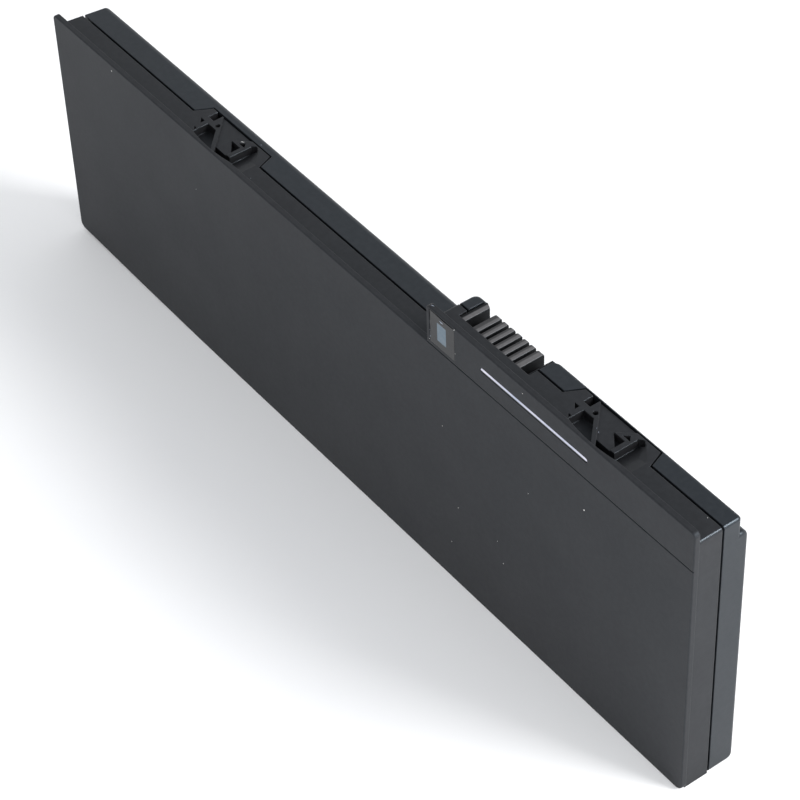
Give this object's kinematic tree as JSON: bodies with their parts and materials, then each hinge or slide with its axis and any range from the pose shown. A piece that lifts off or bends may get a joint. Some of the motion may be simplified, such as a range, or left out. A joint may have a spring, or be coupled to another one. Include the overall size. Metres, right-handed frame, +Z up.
{
  "type": "laptop battery",
  "caption": "Flat removable laptop battery pack with a raised strip, latch recesses and a slotted connector comb along its upper edge.",
  "frame": {"origin": "middle of the pack's footprint, on the surface it stands on, with the pack on its long lower edge", "axes": "+X along the pack towards the connector end, +Y from the flat cover into the pack, +Z up towards the connector and latches"},
  "size_m": [0.258, 0.0164, 0.0865],
  "materials": {
    "cover_plastic": "fine satin texture",
    "casing_plastic": "fine satin texture",
    "comb_plastic": "smooth moulded",
    "contact_metal": "plated",
    "indicator_film": "smooth film",
    "indicator_patch": "smooth",
    "pale_mark": "smooth",
    "cell_pouch": "matte laminate",
    "pad_foam": "soft foam",
    "nickel": "plain",
    "board": "solder mask",
    "ceramic": "plain",
    "insulator": "pressed paper",
    "bead_resin": "potted",
    "chip_plastic": "moulded"
  },
  "bodies": {
    "root": {"back_cell_left": "cell_pouch", "back_cell_right": "cell_pouch", "back_pad_left": "pad_foam", "back_pad_right": "pad_foam", "back_shell": "casing_plastic", "board_fuse": "chip_plastic", "capacitor_1": "ceramic", "capacitor_2": "ceramic", "capacitor_3": "ceramic", "capacitor_4": "ceramic", "circuit_board": "board", "connector_contact_1": "contact_metal", "connector_contact_2": "contact_metal", "connector_contact_3": "contact_metal", "connector_contact_4": "contact_metal", "connector_contact_5": "contact_metal", "connector_contact_6": "contact_metal", "connector_contact_7": "contact_metal", "connector_contact_8": "contact_metal", "connector_housing": "comb_plastic", "current_shunt": "nickel", "front_cell_left": "cell_pouch", "front_cell_right": "cell_pouch", "front_pad_left": "pad_foam", "front_pad_right": "pad_foam", "front_shell": "cover_plastic", "gauge_chip": "chip_plastic", "indicator_film": "indicator_film", "indicator_patch": "indicator_patch", "insulating_strip": "insulator", "midpoint_strap": "nickel", "negative_strap": "nickel", "pale_mark": "pale_mark", "positive_strap": "nickel", "protection_chip": "chip_plastic", "sense_lead": "nickel", "separator_pad_left": "pad_foam", "separator_pad_right": "pad_foam", "switch_transistor_1": "chip_plastic", "switch_transistor_2": "chip_plastic", "thermal_cutoff": "nickel", "thermistor_bead": "bead_resin"}
  },
  "joints": []
}
